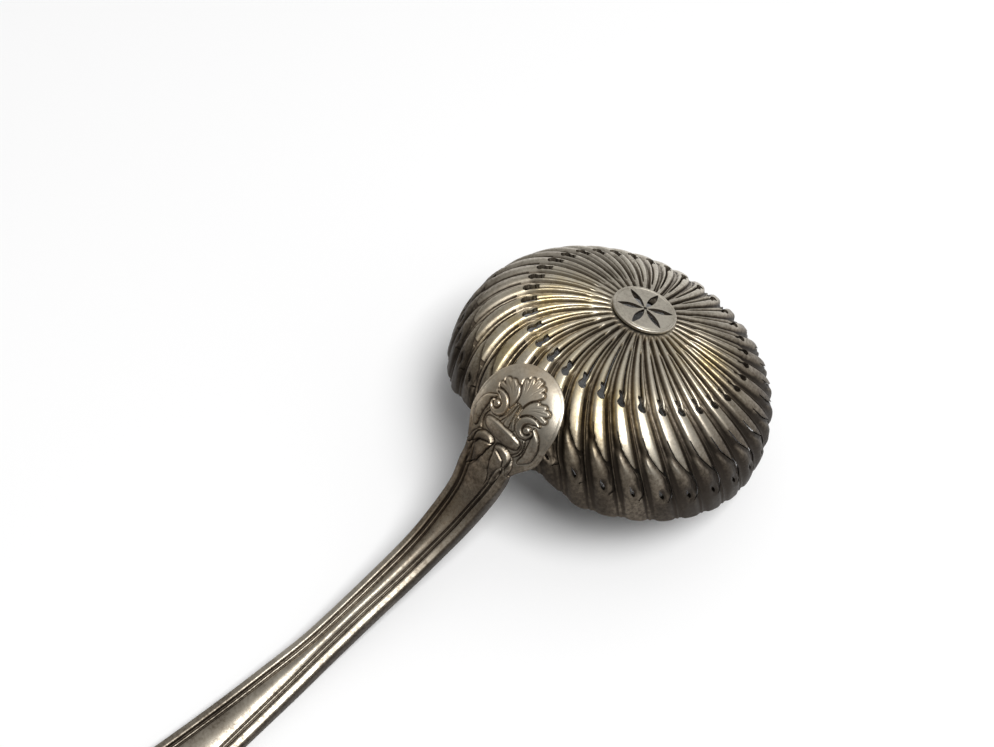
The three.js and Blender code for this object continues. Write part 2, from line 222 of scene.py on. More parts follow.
def cubic(x, places, values):
    """Runs smoothly through points, with the slope of their neighbours at each of them."""
    gaps = np.diff(places)
    rates = np.diff(values) / gaps
    slopes = np.empty(len(places))
    slopes[1:-1] = (gaps[1:] * rates[:-1] + gaps[:-1] * rates[1:]) / (gaps[1:] + gaps[:-1])
    slopes[0] = rates[0]
    slopes[-1] = rates[-1]
    x = np.clip(x, places[0], places[-1])
    step = np.clip(np.searchsorted(places, x, side="right") - 1, 0, len(gaps) - 1)
    gap = gaps[step]
    t = (x - places[step]) / gap
    start = (2 * t**3 - 3 * t**2 + 1) * values[step] + (t**3 - 2 * t**2 + t) * gap * slopes[step]
    end = (3 * t**2 - 2 * t**3) * values[step + 1] + (t**3 - t**2) * gap * slopes[step + 1]
    return start + end


def lengths_along(points):
    steps = np.linalg.norm(np.diff(points, axis=0), axis=1)
    return np.concatenate([[0], np.cumsum(steps)])


def curve_through(points, count):
    """A smooth line through a few points, as points at even steps along it."""
    points = np.array(points, float)
    steps = np.linalg.norm(np.diff(points, axis=0), axis=1)
    knots = np.concatenate([[0], np.cumsum(np.sqrt(steps))])
    fine = np.linspace(0, knots[-1], CURVE_STEPS)
    line = np.stack([cubic(fine, knots, column) for column in points.T], axis=-1)
    along = lengths_along(line)
    at = np.linspace(0, along[-1], count)
    return np.stack([np.interp(at, along, column) for column in line.T], axis=-1)


# The bowl's profile by distance along it from the pole
profile_angle = np.linspace(0, math.pi / 2, PROFILE_STEPS)
profile = np.stack([
    BOWL_RADIUS * np.sin(profile_angle) ** (2 / BOWL_FULLNESS),
    BOWL_DEPTH * np.maximum(np.cos(profile_angle), 0) ** (2 / BOWL_FULLNESS),
], axis=-1)
profile_distance = lengths_along(profile)
profile_normal = np.gradient(profile, profile_distance, axis=0)[:, ::-1] * [-1, 1]
profile_normal /= np.linalg.norm(profile_normal, axis=1)[:, None]
RIM_DISTANCE = profile_distance[-1]
SEAT_DISTANCE = np.interp(MEDALLION_RADIUS, profile[:, 0], profile_distance)
DRAIN_DISTANCE = np.interp(DRAIN_RADIUS, profile[:, 0], profile_distance)
FLUTE_LENGTH = RIM_DISTANCE - SEAT_DISTANCE
MEDALLION_BASE = np.interp(DRAIN_RADIUS, profile[:, 0], profile[:, 1]) + MEDALLION_LIFT
MEDALLION_FACE = MEDALLION_BASE + MEDALLION_THICKNESS


def profile_at(distance, offset):
    place = [np.interp(distance, profile_distance, column) for column in profile.T]
    normal = [np.interp(distance, profile_distance, column) for column in profile_normal.T]
    return place[0] + normal[0] * offset, place[1] + normal[1] * offset


def around_bowl(radius, turn, height):
    return np.stack(np.broadcast_arrays(radius * np.sin(turn), -radius * np.cos(turn), height), axis=-1)


def flute_share(distance):
    return (distance - SEAT_DISTANCE) / FLUTE_LENGTH


def swirl_at(distance):
    """How far the flutes have turned, counted from the ring of keyholes."""
    below = SWIRL_BELOW_RING * (distance - KEYHOLE_DISTANCE) / (RIM_DISTANCE - KEYHOLE_DISTANCE)
    share = (distance - SEAT_DISTANCE) / (KEYHOLE_DISTANCE - SEAT_DISTANCE)
    above = SWIRL_ABOVE_RING * (share * np.abs(share) - 1)
    return np.where(distance > KEYHOLE_DISTANCE, below, above)


def turn_at(across, distance):
    """Turn round the bowl, where across counts flutes: a keyhole is at the middle of each."""
    return KEYHOLE_LEAN + swirl_at(distance) + FLUTE_PITCH * (across - 0.5)


def flute_drop(across, distance):
    """How far the wall lies below the crests, in millimetres."""
    phase = across % 1
    start = cubic(phase, *np.array(START_SECTION).T)
    ridge = cubic(phase, *np.array(RIDGE_SECTION).T)
    lobe = cubic(phase, *np.array(LOBE_SECTION).T)
    split = smooth_step(SAW_CUT_START - SPLIT_BEFORE, SAW_CUT_START + SPLIT_AFTER, distance)
    lobed = smooth_step(KEYHOLE_MIDDLE - NOTCH_HEIGHT, KEYHOLE_MIDDLE + KEYHOLE_RADIUS / 2, distance)
    upper = start + (ridge - start) * split
    begun = smooth_step(SEAT_DISTANCE, SEAT_DISTANCE + FLUTE_RUN_OUT, distance)
    flattened = RIM_FLATTENING * smooth_step(RIM_DISTANCE - RIM_FLATTENING_LENGTH, RIM_DISTANCE, distance)
    section = (1 - flattened) * (upper + (lobe - upper) * lobed)
    return FLUTE_DEPTH * begun * section + lobe_drop(phase, distance)


def slit_sink(phase, distance):
    """How far each lobe is sunk below and left of its slit, as a share."""
    share = flute_share(distance)
    below = np.interp(share, *np.array(SLIT_PATH).T) - phase
    near = smooth_step(*SLIT_SINK_EDGE, below) * (1 - smooth_step(*SLIT_SINK_FADE, below))
    return near * smooth_step(*SLIT_SINK_BEGIN, share) * (1 - smooth_step(*SLIT_SINK_END, share))


def comma_dish(phase, distance):
    """The dish round each comma-shaped hole, as a share of its depth."""
    down = (flute_share(distance) - COMMA_MIDDLE[0]) / COMMA_DISH_REACH[0]
    beside = (phase - COMMA_MIDDLE[1]) / COMMA_DISH_REACH[1]
    return 1 - smooth_step(*COMMA_DISH_SPAN, np.hypot(down, beside))


def lobe_drop(phase, distance):
    """Each lobe is sunk beside its slit, and dished round its comma-shaped hole."""
    return SLIT_SINK * slit_sink(phase, distance) + COMMA_DISH * comma_dish(phase, distance)


def on_bowl(across, distance, depth, drop=None):
    """Points of the bowl's wall, at a depth below its fluted face."""
    drop = flute_drop(across, distance) if drop is None else drop
    turn = turn_at(across, distance)
    radius, height = profile_at(distance, -(drop + depth))
    away = np.arccos(np.cos(turn))
    rise = RIM_RISE * (1 - smooth_step(RIM_RISE_HALF, RIM_RISE_HALF + RIM_RISE_FADE, away))
    fall = RIM_DROP - SCALLOP * cubic(across % 1, *np.array(LOBE_SECTION).T)
    risen = smooth_step(RIM_DISTANCE - RIM_RISE_LENGTH, RIM_DISTANCE, distance)
    scalloped = smooth_step(RIM_DISTANCE - SCALLOP_LENGTH, RIM_DISTANCE, distance)
    height = height + (rise + LIP_HEIGHT) * risen - fall * scalloped
    return around_bowl(radius, turn, height)


def grid_faces(rows, columns, closed_rows):
    """Four-sided faces of a grid whose columns run round, and whose rows may run round too."""
    row = np.arange(rows if closed_rows else rows - 1)[:, None]
    column = np.arange(columns)[None, :]
    below = (row + 1) % rows * columns
    beside = (column + 1) % columns
    here = row * columns
    corners = [here + column, below + column, below + beside, here + beside]
    return np.stack(corners, axis=-1).reshape(-1, 4).tolist()


def add_object(name, data):
    made = bpy.data.objects.new(name, data)
    bpy.context.scene.collection.objects.link(made)
    return made


def make_object(name, points, faces):
    mesh = bpy.data.meshes.new(name)
    mesh.from_pydata((np.reshape(points, (-1, 3)) * MILLIMETRE).tolist(), [], faces)
    mesh.validate()
    return add_object(name, mesh)


def store(piece, name, values):
    """Keeps a value for each point of a piece, or for each face."""
    domain = "POINT" if len(values) == len(piece.data.vertices) else "FACE"
    attribute = piece.data.attributes.new(name, "FLOAT", domain)
    attribute.data.foreach_set("value", np.ravel(values).astype(np.float32))


def prism_faces(rows):
    """Faces of a closed strip with four corners to a row."""
    faces = grid_faces(rows, 4, False)
    last = 4 * rows - 4
    faces.append([0, 1, 2, 3])
    faces.append([last + 3, last + 2, last + 1, last])
    return faces


def strip_prism(left, right, slant=0):
    """A closed cutter through the bowl's wall between two lines of places across and along the flutes."""
    corners = []
    for line, depth in ((left, -CUT_OUT), (right, -CUT_OUT), (right, CUT_IN), (left, CUT_IN)):
        place = np.array(line, float) + slant * depth
        corners.append(on_bowl(place[:, 0], place[:, 1], depth, drop=0))
    points = np.stack(corners, axis=1)
    return points.reshape(-1, 3), prism_faces(len(left))


def join_prisms(prisms):
    points = []
    faces = []
    count = 0
    for corners, sides in prisms:
        points.append(corners)
        faces.extend([[corner + count for corner in side] for side in sides])
        count += len(corners)
    return np.concatenate(points), faces


def cut(piece, prisms):
    """Cuts the prisms out of a piece."""
    cutter = make_object("cutter", *join_prisms(prisms))
    modifier = piece.modifiers.new("cut", "BOOLEAN")
    modifier.operation = "DIFFERENCE"
    modifier.solver = "MANIFOLD"
    modifier.object = cutter
    bpy.context.view_layer.update()
    graph = bpy.context.evaluated_depsgraph_get()
    result = bpy.data.meshes.new_from_object(piece.evaluated_get(graph))
    piece.modifiers.clear()
    spare = [piece.data, cutter.data]
    piece.data = result
    bpy.data.objects.remove(cutter)
    for mesh in spare:
        bpy.data.meshes.remove(mesh)


def flute_width(distance):
    return FLUTE_PITCH * np.interp(distance, profile_distance, profile[:, 0])


def keyhole_prism(flute):
    lines = []
    for turn in np.linspace(*KEYHOLE_ARC, KEYHOLE_STEPS) * DEGREE:
        half = KEYHOLE_RADIUS * math.cos(turn)
        lines.append((KEYHOLE_RADIUS * math.sin(turn), -half, half))
    left = []
    right = []
    for height, reach_left, reach_right in lines + KEYHOLE_NECK:
        distance = KEYHOLE_MIDDLE - height
        width = flute_width(distance)
        left.append((flute + 0.5 + reach_left / width, distance))
        right.append((flute + 0.5 + reach_right / width, distance))
    return strip_prism(left[::-1], right[::-1])


def saw_cut_prism(flute):
    end = KEYHOLE_MIDDLE - NOTCH_HEIGHT + SAW_CUT_LAP
    distances = np.linspace(SAW_CUT_START, end, SAW_CUT_STEPS)
    left = [(flute + SAW_CUT_FROM, distance) for distance in distances]
    right = [(flute + SAW_CUT_TO, distance) for distance in distances]
    return strip_prism(left, right)


def slit_prism(flute):
    places = [(SEAT_DISTANCE + share * FLUTE_LENGTH, across) for share, across in SLIT_PATH]
    line = curve_through(places, SLIT_STEPS)
    width = flute_width(line[:, 0])
    flat = np.stack([line[:, 1] * width, line[:, 0]], axis=-1)
    along = np.gradient(flat, axis=0)
    along /= np.linalg.norm(along, axis=1)[:, None]
    half = SLIT_WIDTH / 2 * np.sin(np.linspace(*SLIT_TAPER, SLIT_STEPS) * math.pi) ** SLIT_FULLNESS
    shift = np.stack([along[:, 1] * half / width, -along[:, 0] * half], axis=-1)
    middle = np.stack([flute + line[:, 1], line[:, 0]], axis=-1)
    slant = SLIT_SLANT * shift / half[:, None]
    return strip_prism(middle - shift, middle + shift, slant)


def comma_prism(flute):
    share, across = COMMA_MIDDLE
    middle = SEAT_DISTANCE + share * FLUTE_LENGTH
    width = flute_width(middle)
    left = []
    right = []
    for t in np.linspace(*COMMA_ENDS, COMMA_STEPS):
        half = COMMA_WIDTH / 2 * math.sin(math.pi * t**COMMA_LEAN) ** COMMA_FULLNESS
        bend = -COMMA_BEND * COMMA_WIDTH * (1 - t) ** 2
        distance = middle + COMMA_LENGTH * (t - 0.5)
        left.append((flute + across + (bend - half) / width, distance))
        right.append((flute + across + (bend + half) / width, distance))
    return strip_prism(left, right)


# Mesh of the bowl: places of its points across a flute, and rows outside, inside and round the lip
PHASES = np.array([
    0, 0.04, 0.08, 0.11, 0.14, 0.17, 0.2, 0.24, 0.29, 0.35, 0.41, 0.47, 0.51, 0.54, 0.57, 0.6, 0.63, 0.66,
    0.69, 0.72, 0.75, 0.78, 0.81, 0.84, 0.87, 0.89, 0.905, 0.92, 0.935, 0.95, 0.97, 0.985,
])
OUTSIDE_ROWS = 125
INSIDE_ROWS = 50
LIP_STEPS = 5


def make_bowl_wall():
    across = (np.arange(FLUTE_COUNT)[:, None] + PHASES[None, :]).ravel()
    outside = np.linspace(DRAIN_DISTANCE, RIM_DISTANCE, OUTSIDE_ROWS)
    inside = np.linspace(RIM_DISTANCE, DRAIN_DISTANCE, INSIDE_ROWS)
    lip = np.linspace(0, math.pi, LIP_STEPS + 2)[1:-1]
    distance = np.concatenate([outside, 0 * lip + RIM_DISTANCE, inside])[:, None]
    depth = np.concatenate([0 * outside, BOWL_WALL * (1 - np.cos(lip)) / 2, 0 * inside + BOWL_WALL])[:, None]
    below = np.concatenate([0 * outside, LIP_HEIGHT * np.sin(lip), 0 * inside])[:, None]
    points = on_bowl(across[None, :], distance, depth)
    points[..., 2] -= below
    return make_object("fluted_bowl", points, grid_faces(len(distance), len(across), True))


def make_bowl():
    bowl = make_bowl_wall()
    for prism in (saw_cut_prism, keyhole_prism, slit_prism, comma_prism):
        cut(bowl, [prism(flute) for flute in range(FLUTE_COUNT)])
    return bowl


# Section of the medallion from its underside over its edge to its face:
# radius as a share, height as a share of its thickness
MEDALLION_SECTION = [
    (0.3, 0), (0.97, 0), (1, 0.1), (1, 0.55), (0.992, 0.8), (0.97, 0.95), (0.945, 1), (0.92, 0.95),
    (0.905, 0.86), (0.89, 0.95), (0.87, 1), (0.7, 1), (0.5, 1), (0.3, 1),
]
MEDALLION_STEPS = 144


def medallion_prism(turn, reach, half):
    """A cutter through the medallion along a line out from its middle, by its reach and half width."""
    low = MEDALLION_BASE - MEDALLION_THICKNESS
    high = low + 3 * MEDALLION_THICKNESS
    corners = []
    for side, height in ((-half, high), (half, high), (half, low), (-half, low)):
        x = reach * math.cos(turn) - side * math.sin(turn)
        y = reach * math.sin(turn) + side * math.cos(turn)
        corners.append(np.stack([x, y, np.full(len(x), height)], axis=-1))
    return np.stack(corners, axis=1).reshape(-1, 3), prism_faces(len(reach))


def petal_prism(petal):
    share = np.linspace(*PETAL_ENDS, PETAL_STEPS)
    reach = PETAL_START + (PETAL_REACH - PETAL_START) * share
    half = PETAL_HALF_WIDTH * np.sin(math.pi * share) ** PETAL_FULLNESS
    return medallion_prism(PETAL_TURN + 2 * math.pi * petal / PETAL_COUNT, reach, half)


def centre_prism():
    across = np.linspace(*CENTRE_ENDS, CENTRE_STEPS)
    return medallion_prism(0, CENTRE_HOLE * across, CENTRE_HOLE * np.sqrt(1 - across**2))


def make_medallion():
    turn = np.linspace(0, 2 * math.pi, MEDALLION_STEPS, endpoint=False)[None, :]
    radius, height = np.array(MEDALLION_SECTION).T[:, :, None]
    points = around_bowl(MEDALLION_RADIUS * radius, turn, MEDALLION_BASE + MEDALLION_THICKNESS * height)
    faces = [face[::-1] for face in grid_faces(len(radius), MEDALLION_STEPS, False)]
    first = list(range(MEDALLION_STEPS))
    last = [(len(radius) - 1) * MEDALLION_STEPS + corner for corner in first]
    faces.append(first[::-1])
    faces.append(last)
    medallion = make_object("pierced_medallion", points, faces)
    cut(medallion, [petal_prism(petal) for petal in range(PETAL_COUNT)])
    cut(medallion, [centre_prism()])
    return medallion


# Spine of the handle, down the side of the bowl and along the stem's underside: distance out, height
HEEL_KNOTS = 10
heel_distance = RIM_DISTANCE - (HEEL_ARCH + HEEL_STRAIGHT) * (1 - np.arange(HEEL_KNOTS + 1) / HEEL_KNOTS)
heel_line = np.stack(profile_at(heel_distance, HEEL_LIFT), axis=-1)
stem_line = BOWL_RADIUS * (np.array(STEM_PATH) + [1, 0]) + [HEEL_LIFT, 0]
NECK_SMOOTHING = 3.0
NECK_SMOOTHING_SPREADS = 3
SMOOTH_FROM = 8.0


def smoothed(line):
    """Rounds off the bend of the neck, and leaves the heel as it is."""
    along = lengths_along(line) - HEEL_ARCH
    step = along[1] - along[0]
    reach = round(NECK_SMOOTHING_SPREADS * NECK_SMOOTHING / step)
    weights = np.exp(-((np.arange(-reach, reach + 1) * step / NECK_SMOOTHING) ** 2) / 2)
    weights /= weights.sum()
    ends = [np.pad(column, reach, "reflect", reflect_type="odd") for column in line.T]
    even = np.stack([np.convolve(column, weights, "valid") for column in ends], axis=-1)
    share = smooth_step(SMOOTH_FROM, SMOOTH_FROM + NECK_SMOOTHING, along)[:, None]
    return line + (even - line) * share


spine = smoothed(curve_through(np.concatenate([heel_line, stem_line]), SPINE_STEPS))
spine_along = lengths_along(spine) - HEEL_ARCH
spine_tangent = np.gradient(spine, spine_along, axis=0)
TIP_MIDDLE = spine_along[-1] - TIP_ROUND
STEM_LENGTH = TIP_MIDDLE - HEEL_STRAIGHT


def width_knots():
    knots = [(0, HEEL_HALF_WIDTH, HEEL_THICKNESS), (SHOULDER_LENGTH, SHOULDER_HALF_WIDTH, HEEL_THICKNESS)]
    for share, half, thick in STEM_SHAPE:
        knots.append((HEEL_STRAIGHT + share * STEM_LENGTH, half * NECK_HALF_WIDTH, thick * NECK_THICKNESS))
    return np.array(knots).T


def stem_at(along):
    """Half width and thickness of the handle."""
    places, halves, thicks = width_knots()
    along = np.clip(along, 0, TIP_MIDDLE)
    return cubic(along, places, halves), cubic(along, places, thicks)


def on_handle(along, side, above):
    """A point of the handle: it wraps round the bowl at the heel plate and straightens out along the stem."""
    out, height = [np.interp(along, spine_along, column) for column in spine.T]
    run_out, run_down = [np.interp(along, spine_along, column) for column in spine_tangent.T]
    outward = out - run_down * above
    upward = height + run_out * above
    bent = around_bowl(outward, side / out, upward)
    straight = np.stack([side, -outward, upward], axis=-1)
    share = smooth_step(HEEL_STRAIGHT, HEEL_STRAIGHT + UNBEND_LENGTH, along)[..., None]
    return bent + (straight - bent) * share


# Carving of the heel plate, right of its middle line: path of each stroke (side, along),
# half widths along it, level of its foot, height of its crown and depth of its vein
OUTLINE_WIDTH = 0.28
OUTLINE_DEPTH = 0.16
EDGE_SLOPE = 0.28
LEAF_FULLNESS = np.array([0.5, 0.85, 1, 1, 0.75])
LEAF_LEVEL = 0.2
LEAF_CROWN = 0.09
LEAF_VEIN = 0.05
VEIN_WIDTH = 0.12
KNOB_LENGTH = 0.02

# Volute: middle, turns from its beak to its eye in degrees, reach by share of the way, half widths
VOLUTE_MIDDLE = (3.4, -0.85)
VOLUTE_TURNS = (-50, -335)
VOLUTE_REACH = [(0, 2.05), (0.14, 1.6), (0.5, 1.4), (0.8, 1.22), (1, 1.0)]
VOLUTE_HALVES = [0.26, 0.6, 0.7, 0.72, 0.64, 0.5]
VOLUTE_LEVEL = 0.2
VOLUTE_CROWN = 0.22
VOLUTE_STEPS = 24


def band(path, halves, level, crown, vein=0):
    return {"path": path, "halves": halves, "level": level, "crown": crown, "vein": vein}


def leaflet(path, half):
    return band(path, half * LEAF_FULLNESS, LEAF_LEVEL, LEAF_CROWN, LEAF_VEIN)


def knob(side, along, half, level, crown):
    return band([(side, along), (side + KNOB_LENGTH, along)], [half, half], level, crown)


def volute():
    """A scroll from its beak over its top, round and into its eye."""
    turns = np.linspace(*VOLUTE_TURNS, VOLUTE_STEPS) * DEGREE
    reach = np.interp(np.linspace(0, 1, VOLUTE_STEPS), *np.array(VOLUTE_REACH).T)
    side, along = VOLUTE_MIDDLE
    path = np.stack([side + reach * np.cos(turns), along + reach * np.sin(turns)], axis=-1)
    return band(path, VOLUTE_HALVES, VOLUTE_LEVEL, VOLUTE_CROWN)


CENTRE_LEAF = [
    leaflet([(0.1, -2.9), (0.8, -4.6), (1.55, -5.35)], 0.72),
    leaflet([(0.1, -3.2), (0.95, -5.4), (1.75, -6.5)], 0.78),
    leaflet([(0.05, -3.4), (0.6, -6.0), (1.15, -7.4)], 0.72),
    leaflet([(0, -3.4), (0.1, -6.4), (0.25, -8.0)], 0.6),
]
SIDE_LEAF = [
    leaflet([(1.5, -2.1), (2.7, -3.3), (4.9, -3.45)], 0.66),
    leaflet([(1.45, -2.1), (2.5, -3.75), (4.5, -4.6)], 0.8),
    leaflet([(1.4, -2.0), (2.0, -3.9), (3.5, -5.1)], 0.76),
    leaflet([(1.35, -1.9), (1.6, -3.8), (2.2, -5.0)], 0.66),
]
RIBS = [
    [band([(0.3, -3.0), (0.66, -0.9), (1.45, 0.8)], [0.12, 0.17, 0.22], 0.1, 0.12)],
    [band([(0, -3.0), (0, -1.0), (0, 0.85)], [0.1, 0.28, 0.52], 0.05, 0.14)],
]
OUTER_SCROLL = [(4.5, -1.5), (5.5, -0.1), (6.0, 1.7), (5.95, 3.4), (5.15, 4.75)]
SCROLLS = [
    [band(OUTER_SCROLL, [0.2, 0.72, 0.95, 0.88, 0.3], 0.1, 0.34)],
    [volute()],
    [knob(3.5, -0.7, 0.68, 0.16, 0.22)],
    [band([(4.15, 1.1), (4.55, 2.4), (4.3, 3.8), (3.5, 4.8)], [0.15, 0.18, 0.18, 0.14], 0.12, 0.18)],
]
TURNED_LEAF = [(3.4, 6.7), (3.2, 5.6), (2.3, 5.0), (1.2, 4.8), (0.6, 5.0)]
LOWER_LEAVES = [
    [band([(4.4, 7.8), (4.0, 6.3), (3.6, 5.2)], [0.2, 0.55, 0.45], 0.1, 0.22)],
    [
        band([(1.0, 5.0), (1.75, 6.4), (2.3, 8.6), (2.8, 11.2)], [0.7, 1.2, 1.0, 0.25], 0.16, 0.2),
        leaflet([(2.2, 7.6), (1.6, 6.6), (0.95, 6.0)], 0.6),
        leaflet([(2.4, 9.0), (1.8, 8.1), (1.2, 7.5)], 0.55),
        leaflet([(2.5, 10.2), (2.0, 9.4), (1.55, 8.9)], 0.45),
    ],
    [band(TURNED_LEAF, [0.3, 0.58, 0.72, 0.62, 0.32], 0.24, 0.28)],
]
CUSHION_MIDDLE = 2.62
CUSHION_HALVES = (3.9, 1.36)
CUSHION_POWER = 2.6
CUSHION_LEVEL = 0.14
CUSHION_CROWN = 0.42
PANEL_START = 5.0
PANEL_END = 11.2
PANEL_HALF = 1.8
PANEL_TIP_HALF = 0.02
PANEL_FULLNESS = 0.8
PANEL_CROWN = 0.24
CARVING_FADE = (10.5, 14)
STROKE_STEPS = 48
FAR = 9.0


def lay(height, edge, crown):
    """Lays a raised shape over the carving, with a sunk outline round it."""
    outline = np.clip(1 - edge / OUTLINE_WIDTH, 0, 1)
    ground = height * (1 - outline) - OUTLINE_DEPTH * outline
    return np.where(edge > 0, ground, crown)


def stroke_shape(stroke, side, along):
    """Distance outside a stroke's edge, and its height over the plate."""
    path = curve_through(stroke["path"], STROKE_STEPS)
    halves = np.array(stroke["halves"], float)
    halves = np.interp(np.linspace(0, 1, STROKE_STEPS), np.linspace(0, 1, len(halves)), halves)
    reach = halves.max() + OUTLINE_WIDTH
    low = path.min(axis=0) - reach
    high = path.max(axis=0) + reach
    near = (side > low[0]) & (side < high[0]) & (along > low[1]) & (along < high[1])
    spots = np.stack([side[near], along[near]], axis=-1)
    gaps = np.linalg.norm(spots[:, None, :] - path[None, :, :], axis=-1)
    closest = np.argmin(gaps - halves, axis=1)
    away = np.take_along_axis(gaps, closest[:, None], axis=1)[:, 0]
    half = halves[closest]
    round_top = np.sqrt(np.clip(1 - (away / half) ** 2, 0, 1))
    crown = stroke["level"] * smooth_step(0, EDGE_SLOPE, half - away) + stroke["crown"] * round_top
    crown = crown - stroke["vein"] * (1 - smooth_step(0, VEIN_WIDTH, away))
    edge = np.full(side.shape, FAR)
    top = np.full(side.shape, -FAR)
    edge[near] = away - half
    top[near] = np.where(away < half, crown, -FAR)
    return edge, top


def lay_group(height, strokes, side, along, joined=False):
    """Lays strokes that grow together over the carving, with their mirror images joined to them or apart."""
    right = [stroke_shape(stroke, side, along) for stroke in strokes]
    left = [stroke_shape(stroke, -side, along) for stroke in strokes]
    for shapes in ([right + left] if joined else [right, left]):
        edge = np.min([shape[0] for shape in shapes], axis=0)
        top = np.max([shape[1] for shape in shapes], axis=0)
        height[:] = lay(height, edge, top)


def lay_cushion(height, side, along):
    across = np.abs(side / CUSHION_HALVES[0]) ** CUSHION_POWER
    down = np.abs((along - CUSHION_MIDDLE) / CUSHION_HALVES[1]) ** CUSHION_POWER
    away = (across + down) ** (1 / CUSHION_POWER)
    edge = (away - 1) * CUSHION_HALVES[1]
    round_top = np.sqrt(np.clip(1 - away**2, 0, 1))
    crown = CUSHION_LEVEL * smooth_step(0, EDGE_SLOPE, -edge) + CUSHION_CROWN * round_top
    height[:] = lay(height, edge, crown)


def lay_panel(height, side, along):
    share = np.clip((along - PANEL_START) / (PANEL_END - PANEL_START), 0, 1)
    half = PANEL_HALF * share**PANEL_FULLNESS + PANEL_TIP_HALF
    edge = np.where(along > PANEL_START, np.abs(side) - half, FAR)
    crown = PANEL_CROWN * np.sqrt(np.clip(1 - (side / half) ** 2, 0, 1))
    height[:] = lay(height, edge, crown)


def carve(side, along):
    """Height of the heel plate's carving over its smooth face."""
    height = np.zeros(side.shape)
    lay_group(height, CENTRE_LEAF, side, along, joined=True)
    lay_group(height, SIDE_LEAF, side, along)
    for strokes in RIBS + SCROLLS:
        lay_group(height, strokes, side, along)
    lay_cushion(height, side, along)
    lay_panel(height, side, along)
    for strokes in LOWER_LEAVES:
        lay_group(height, strokes, side, along)
    return height


def plate_drop(inset):
    return PLATE_ROUND * np.maximum(0, 1 - inset / PLATE_BORDER) ** 2


def thread_depth(inset, half):
    panel = PANEL_DROP * ((half - inset) / (half - PANEL_EDGE)) ** 2
    return np.where(inset > PANEL_EDGE, panel, cubic(inset, *np.array(THREADS).T))


# Mesh of the handle: columns across each half of a loop, and loops along
PANEL_COLUMNS = 56
THREAD_COLUMNS = 44
EDGE_COLUMNS = 14
FRONT_COLUMNS = 18
ARCH_STATIONS = 110
HEEL_STATIONS = 180
STEM_STATIONS = 150
TIP_STATIONS = 36
HEEL_END = 20
WELD = 0.002


def handle_stations():
    """Place of each loop along the handle, length of the round end it is on and its turn round that end."""
    arch = np.linspace(math.pi / 2, 0, ARCH_STATIONS, endpoint=False)
    heel = np.linspace(0, HEEL_END, HEEL_STATIONS, endpoint=False)
    stem = np.linspace(HEEL_END, TIP_MIDDLE, STEM_STATIONS)
    tip = np.linspace(0, math.pi / 2, TIP_STATIONS + 1)[1:]
    straight = np.concatenate([heel, stem])
    along = np.concatenate([0 * arch, straight, 0 * tip + TIP_MIDDLE])
    length = np.concatenate([0 * arch - HEEL_ARCH, 0 * straight, 0 * tip + TIP_ROUND])
    turn = np.concatenate([arch, 0 * straight, tip])
    return along[:, None], length[:, None], turn[:, None]


def spread(station, inset):
    """Distance along and sideways place of the handle's skin."""
    along, length, turn = station
    half = stem_at(along)[0]
    share = 1 - END_TAPER * inset / half
    return along + length * share * np.sin(turn), (half - inset) * np.cos(turn), half


def half_loops(station):
    """Right half of each loop, from the middle of the back over the edge to the middle of the front."""
    half, thick = stem_at(station[0])
    panel = half + (PANEL_EDGE - half) * np.linspace(0, 1, PANEL_COLUMNS, endpoint=False)
    threads = 0 * half + np.linspace(PANEL_EDGE, EDGE_INSET, THREAD_COLUMNS)
    inset = np.concatenate([panel, threads], axis=1)
    along, side, half = spread(station, inset)
    on_stem = smooth_step(THREAD_START, THREAD_FULL, along)
    smooth = plate_drop(inset)
    carved = carve(side, along) * (1 - smooth_step(*CARVING_FADE, along))
    above = thick - smooth - (thread_depth(inset, half) - smooth) * on_stem + carved
    loops = [(along, side, above)]
    edge_turn = np.linspace(0, math.pi, EDGE_COLUMNS + 2)[1:-1][None, :]
    upper = edge_turn < math.pi / 2
    edge_inset = np.where(upper, EDGE_INSET, EDGE_UNDER) * (1 - np.sin(edge_turn) ** EDGE_FULLNESS)
    along, side, half = spread(station, edge_inset + 0 * half)
    middle = EDGE_LEVEL * thick
    top = above[:, -1:]
    edge_above = middle + np.where(upper, top - middle, middle) * np.cos(edge_turn)
    loops.append((along, side, edge_above))
    front = EDGE_UNDER + (half - EDGE_UNDER) * np.linspace(0, 1, FRONT_COLUMNS)
    along, side, half = spread(station, front)
    on_stem = smooth_step(THREAD_START, THREAD_FULL, along)
    loops.append((along, side, on_stem * thread_depth(np.maximum(front, EDGE_INSET), half)))
    return [np.concatenate(parts, axis=1) for parts in zip(*loops)]


def make_handle():
    along, side, above = half_loops(handle_stations())
    right = on_handle(along, side, above)
    left = on_handle(along, -side, above)[:, -2:0:-1]
    points = np.concatenate([right, left], axis=1)
    rows, columns = points.shape[:2]
    handle = make_object("carved_handle", points, grid_faces(rows, columns, False))
    shape = bmesh.new()
    shape.from_mesh(handle.data)
    bmesh.ops.remove_doubles(shape, verts=shape.verts, dist=WELD * MILLIMETRE)
    bmesh.ops.recalc_face_normals(shape, faces=shape.faces)
    shape.to_mesh(handle.data)
    shape.free()
    return handle


def placement():
    """Where the ladle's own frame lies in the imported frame, by the mount on the medallion's face."""
    mount = frame["record"]["mounts"][0]
    tilt = math.atan2(mount["axis"][1], mount["axis"][2])
    turned = Matrix.Rotation(-tilt, 4, "X")
    side = MOUNT_RADIUS * math.cos(MOUNT_TURN)
    back = MOUNT_RADIUS * math.sin(MOUNT_TURN)
    spot = Vector((side, back, MEDALLION_FACE)) * MILLIMETRE
    return Matrix.Translation(Vector(mount["pos_m"]) - turned @ spot) @ turned


